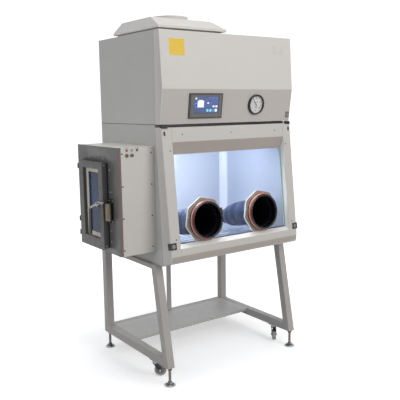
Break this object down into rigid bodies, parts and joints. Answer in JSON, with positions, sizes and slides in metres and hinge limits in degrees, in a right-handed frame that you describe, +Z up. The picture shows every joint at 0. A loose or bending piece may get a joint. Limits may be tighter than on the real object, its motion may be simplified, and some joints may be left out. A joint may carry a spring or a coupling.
{
  "type": "laboratory glove box",
  "caption": "Closed safety cabinet with a sloping window, glove ports, a pass-through airlock, a control facet and an exhaust collar, on an open stand.",
  "frame": {"origin": "centre of the footprint's bounding box, at floor level", "axes": "+Z up, the window faces -Y, the airlock is on the -X side"},
  "size_m": [1.3299, 0.8388, 2.171],
  "materials": {
    "cabinet_paint": "fine textured powder coat",
    "stand_paint": "fine textured powder coat",
    "dark_paint": "satin dark grey coat",
    "stainless": "brushed",
    "zinc": "satin plated",
    "bright_metal": "polished",
    "brass": "satin",
    "black_plastic": "matte",
    "bezel_plastic": "matte",
    "tan_plastic": "satin",
    "filter_media": "matte",
    "screen": "lit",
    "signal_red": "gloss",
    "lamp_white": "lit diffuser",
    "ring_rubber": "satin",
    "gasket_rubber": "matte",
    "glove_rubber": "satin",
    "wheel_rubber": "matte",
    "clear_glass": "clear",
    "door_glass": "clear, tinted"
  },
  "bodies": {
    "cabinet": {"legs": "stand_paint", "stand_rails": "stand_paint", "rear_post": "stand_paint", "shelf": "cabinet_paint", "caster_plates": "zinc", "housing_side_panels": "cabinet_paint", "back_panel": "cabinet_paint", "housing_top_panel": "cabinet_paint", "hepa_filters": "filter_media", "fan_case": "zinc", "exhaust_hood": "cabinet_paint", "duct_collar": "zinc", "chamber_left_wall": "cabinet_paint", "chamber_right_wall": "cabinet_paint", "chamber_back_wall": "stainless", "chamber_ceiling": "stainless", "worktop": "stainless", "lamp": "lamp_white", "airlock_shell": "cabinet_paint", "airlock_front_panel": "cabinet_paint", "airlock_end_plate": "dark_paint", "door_hinges": "dark_paint", "latch_strike": "black_plastic", "indicators": "signal_red", "panel_screws": "black_plastic"},
    "cover": {"front_cover": "cabinet_paint", "touch_panel": "bezel_plastic", "touch_screen": "screen", "gauge_case": "black_plastic", "gauge_glass": "clear_glass"},
    "window": {"window_frame": "cabinet_paint", "window_glass": "clear_glass", "port_flanges": "tan_plastic", "port_cuffs": "black_plastic", "o_rings": "ring_rubber", "glove_left": "glove_rubber", "glove_right": "glove_rubber", "window_fittings": "black_plastic"},
    "airlock_door": {"outer_door": "dark_paint", "outer_door_glass": "door_glass", "outer_door_gasket": "gasket_rubber"},
    "foot_front_left": {"foot_front_left": "zinc"},
    "foot_front_right": {"foot_front_right": "zinc"},
    "foot_rear_left": {"foot_rear_left": "zinc"},
    "foot_rear_right": {"foot_rear_right": "zinc"},
    "caster_fork_left": {"caster_fork_left": "zinc"},
    "caster_fork_right": {"caster_fork_right": "zinc"},
    "caster_wheel_left": {"caster_wheel_left": "wheel_rubber"},
    "caster_wheel_right": {"caster_wheel_right": "wheel_rubber"},
    "fan_impeller": {"fan_impeller": "black_plastic"},
    "gauge_needle": {"gauge_needle": "black_plastic"},
    "cover_lock": {"cover_lock": "bright_metal"},
    "port_latch_left": {"port_latch_left": "black_plastic"},
    "port_latch_right": {"port_latch_right": "brass"},
    "latch_core_left": {"latch_core_left": "bright_metal"},
    "latch_core_right": {"latch_core_right": "bright_metal"},
    "door_handle": {"door_handle": "bright_metal"},
    "inner_door": {"inner_door": "stainless"},
    "button_left": {"button_left": "brass"},
    "button_right": {"button_right": "brass"}
  },
  "joints": [
    {"name": "foot_turn_front_left", "type": "hinge", "parent": "cabinet", "child": "foot_front_left", "pos_m": [-0.354, -0.36559, 0], "axis": [0, 0, 1], "continuous": true},
    {"name": "foot_turn_front_right", "type": "hinge", "parent": "cabinet", "child": "foot_front_right", "pos_m": [0.632, -0.36559, 0], "axis": [0, 0, 1], "continuous": true},
    {"name": "foot_turn_rear_left", "type": "hinge", "parent": "cabinet", "child": "foot_rear_left", "pos_m": [-0.354, 0.38641, 0], "axis": [0, 0, 1], "continuous": true},
    {"name": "foot_turn_rear_right", "type": "hinge", "parent": "cabinet", "child": "foot_rear_right", "pos_m": [0.632, 0.38641, 0], "axis": [0, 0, 1], "continuous": true},
    {"name": "caster_swivel_left", "type": "hinge", "parent": "cabinet", "child": "caster_fork_left", "pos_m": [-0.354, -0.20659, 0.09], "axis": [0, 0, 1], "continuous": true},
    {"name": "caster_roll_left", "type": "hinge", "parent": "caster_fork_left", "child": "caster_wheel_left", "pos_m": [-0.33052, -0.22527, 0.044], "axis": [0.6225, 0.7826, 0], "continuous": true},
    {"name": "caster_swivel_right", "type": "hinge", "parent": "cabinet", "child": "caster_fork_right", "pos_m": [0.632, -0.20659, 0.09], "axis": [0, 0, 1], "continuous": true},
    {"name": "caster_roll_right", "type": "hinge", "parent": "caster_fork_right", "child": "caster_wheel_right", "pos_m": [0.61333, -0.23007, 0.044], "axis": [0.7826, -0.6225, 0], "continuous": true},
    {"name": "fan_spin", "type": "hinge", "parent": "cabinet", "child": "fan_impeller", "pos_m": [0.339, 0.04941, 1.7], "axis": [0, 0, 1], "continuous": true},
    {"name": "cover_hinge", "type": "hinge", "parent": "cabinet", "child": "cover", "pos_m": [0.139, -0.32559, 2.058], "axis": [-1, 0, 0], "range_deg": [0, 60]},
    {"name": "gauge_needle_turn", "type": "hinge", "parent": "cover", "child": "gauge_needle", "pos_m": [0.335, -0.35001, 1.64721], "axis": [0, -0.9905, -0.1373], "range_deg": [-45, 45], "stiffness_Nm_per_rad": 0.01},
    {"name": "cover_lock_turn", "type": "hinge", "parent": "cover", "child": "cover_lock", "pos_m": [0.617, -0.33522, 1.58061], "axis": [0, -0.9905, -0.1373], "range_deg": [0, 90]},
    {"name": "window_hinge", "type": "hinge", "parent": "cabinet", "child": "window", "pos_m": [0.139, -0.33059, 1.53], "axis": [-1, 0, 0], "range_deg": [0, 80], "deforming": ["glove_left", "glove_right"]},
    {"name": "port_latch_turn_left", "type": "hinge", "parent": "window", "child": "port_latch_left", "pos_m": [0.03925, -0.37183, 0.99765], "axis": [0, 0.9939, -0.1103], "range_deg": [0, 90]},
    {"name": "port_latch_turn_right", "type": "hinge", "parent": "window", "child": "port_latch_right", "pos_m": [0.44631, -0.38504, 0.87855], "axis": [0, 0.9939, -0.1103], "range_deg": [0, 90]},
    {"name": "window_latch_turn_left", "type": "hinge", "parent": "window", "child": "latch_core_left", "pos_m": [-0.341, -0.41312, 0.85212], "axis": [0, -0.9939, 0.1103], "range_deg": [0, 90]},
    {"name": "window_latch_turn_right", "type": "hinge", "parent": "window", "child": "latch_core_right", "pos_m": [0.619, -0.41312, 0.85212], "axis": [0, -0.9939, 0.1103], "range_deg": [0, 90]},
    {"name": "airlock_door_hinge", "type": "hinge", "parent": "cabinet", "child": "airlock_door", "pos_m": [-0.625, 0.19141, 1.092], "axis": [0, 0, -1], "range_deg": [0, 110]},
    {"name": "door_handle_turn", "type": "hinge", "parent": "airlock_door", "child": "door_handle", "pos_m": [-0.651, -0.10259, 1.092], "axis": [1, 0, 0], "range_deg": [0, 90]},
    {"name": "inner_door_lift", "type": "slide", "parent": "cabinet", "child": "inner_door", "axis": [0, 0, 1], "range_m": [0, 0.43]},
    {"name": "button_press_left", "type": "slide", "parent": "cabinet", "child": "button_left", "axis": [0, 1, 0], "range_m": [0, 0.003], "stiffness_N_per_m": 300, "springref_m": -0.001},
    {"name": "button_press_right", "type": "slide", "parent": "cabinet", "child": "button_right", "axis": [0, 1, 0], "range_m": [0, 0.003], "stiffness_N_per_m": 300, "springref_m": -0.001}
  ]
}
